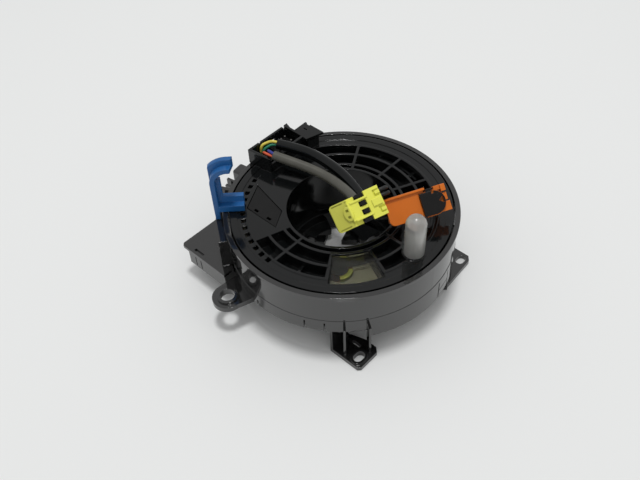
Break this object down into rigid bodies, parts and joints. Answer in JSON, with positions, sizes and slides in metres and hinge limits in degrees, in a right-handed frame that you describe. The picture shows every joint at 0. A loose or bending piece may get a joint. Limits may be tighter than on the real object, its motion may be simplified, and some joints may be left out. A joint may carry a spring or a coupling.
{
  "type": "steering clock spring",
  "caption": "Round spiral cable unit for a steering wheel: ribbed rotor in a lugged case, sensor box, two airbag plugs on sheathed leads, lift-off transit clip.",
  "frame": {"origin": "on the axis of the centre bore, in the plane of the undersides of the two lower ears", "axes": "+Z along the steering axis towards the wheel, +X between the two lower ears, +Y completes a right-handed frame"},
  "size_m": [0.1112, 0.12, 0.0655],
  "materials": {
    "case_plastic": "gloss",
    "rotor_plastic": "satin gloss",
    "cover_plastic": "satin",
    "lens_plastic": "smoky gloss",
    "blue_plastic": "satin",
    "yellow_plastic": "satin",
    "orange_plastic": "satin",
    "milky_plastic": "satin",
    "green_plastic": "board",
    "white_plastic": "satin",
    "black_rubber": "satin",
    "grey_rubber": "satin",
    "green_rubber": "satin",
    "yellow_rubber": "satin",
    "red_rubber": "satin",
    "blue_rubber": "satin",
    "tin": "bright",
    "copper": "plain"
  },
  "bodies": {
    "stator": {"stator_case": "case_plastic", "bottom_cover": "case_plastic", "harness_connector": "case_plastic", "harness_pins": "tin", "outer_terminal": "cover_plastic", "angle_sensor_case": "case_plastic", "angle_sensor_lid": "case_plastic", "sensor_board": "green_plastic", "photo_interrupter": "cover_plastic", "sensor_socket": "white_plastic", "sensor_pins": "tin"},
    "rotor": {"rotor": "rotor_plastic", "terminal_cover": "cover_plastic", "window_lens": "lens_plastic", "inner_terminal": "cover_plastic", "drive_sleeve": "rotor_plastic", "code_disc": "cover_plastic", "tower_header": "cover_plastic", "tower_pins": "tin", "pin_cap": "milky_plastic", "yellow_plug": "yellow_plastic", "yellow_contacts": "tin", "orange_plug": "orange_plastic", "orange_contacts": "tin", "black_sheath": "black_rubber", "grey_sheath": "grey_rubber", "yellow_lead_1": "black_rubber", "yellow_lead_2": "black_rubber", "orange_lead_1": "black_rubber", "orange_lead_2": "black_rubber", "wire_green": "green_rubber", "wire_yellow": "yellow_rubber", "wire_red": "red_rubber", "wire_blue": "blue_rubber"},
    "carrier": {"roller_carrier": "white_plastic", "ribbon_cable": "copper", "position_mark": "yellow_plastic"},
    "roller_1_body": {"roller_1": "cover_plastic"},
    "roller_2_body": {"roller_2": "cover_plastic"},
    "roller_3_body": {"roller_3": "cover_plastic"},
    "roller_4_body": {"roller_4": "cover_plastic"},
    "roller_5_body": {"roller_5": "cover_plastic"},
    "roller_6_body": {"roller_6": "cover_plastic"},
    "yellow_lock": {"yellow_plug_lock": "cover_plastic"},
    "orange_lock": {"orange_plug_lock": "cover_plastic"},
    "clip": {"lock_clip": "blue_plastic"}
  },
  "joints": [
    {"name": "rotor_spin", "type": "hinge", "parent": "stator", "child": "rotor", "pos_m": [0, 0, 0.02], "axis": [0, 0, 1], "range_deg": [-900, 900]},
    {"name": "carrier_spin", "type": "hinge", "parent": "stator", "child": "carrier", "pos_m": [0, 0, 0.018], "axis": [0, 0, 1], "range_deg": [-450, 450]},
    {"name": "roller_1_spin", "type": "hinge", "parent": "carrier", "child": "roller_1_body", "pos_m": [0.01954, -0.02329, 0.024], "axis": [0, 0, 1], "range_deg": [-5400, 5400]},
    {"name": "roller_2_spin", "type": "hinge", "parent": "carrier", "child": "roller_2_body", "pos_m": [0.02994, 0.00528, 0.024], "axis": [0, 0, 1], "range_deg": [-5400, 5400]},
    {"name": "roller_3_spin", "type": "hinge", "parent": "carrier", "child": "roller_3_body", "pos_m": [0.0104, 0.02857, 0.024], "axis": [0, 0, 1], "range_deg": [-5400, 5400]},
    {"name": "roller_4_spin", "type": "hinge", "parent": "carrier", "child": "roller_4_body", "pos_m": [-0.01954, 0.02329, 0.024], "axis": [0, 0, 1], "range_deg": [-5400, 5400]},
    {"name": "roller_5_spin", "type": "hinge", "parent": "carrier", "child": "roller_5_body", "pos_m": [-0.02994, -0.00528, 0.024], "axis": [0, 0, 1], "range_deg": [-5400, 5400]},
    {"name": "roller_6_spin", "type": "hinge", "parent": "carrier", "child": "roller_6_body", "pos_m": [-0.0104, -0.02857, 0.024], "axis": [0, 0, 1], "range_deg": [-5400, 5400]},
    {"name": "yellow_lock_slide", "type": "slide", "parent": "rotor", "child": "yellow_lock", "axis": [0.482, -0.482, 0.7317], "range_m": [0, 0.0015]},
    {"name": "orange_lock_slide", "type": "slide", "parent": "rotor", "child": "orange_lock", "axis": [0.482, -0.482, 0.7317], "range_m": [0, 0.0025]},
    {"name": "lock_clip_lift", "type": "slide", "parent": "rotor", "child": "clip", "axis": [0, 0, 1], "range_m": [0, 0.03]}
  ],
  "couplings": [
    {"joint": "carrier_spin", "follows": "rotor_spin", "ratio": 0.4},
    {"joint": "roller_1_spin", "follows": "rotor_spin", "ratio": -5.48},
    {"joint": "roller_2_spin", "follows": "rotor_spin", "ratio": -5.48},
    {"joint": "roller_3_spin", "follows": "rotor_spin", "ratio": -5.48},
    {"joint": "roller_4_spin", "follows": "rotor_spin", "ratio": -5.48},
    {"joint": "roller_5_spin", "follows": "rotor_spin", "ratio": -5.48},
    {"joint": "roller_6_spin", "follows": "rotor_spin", "ratio": -5.48}
  ]
}
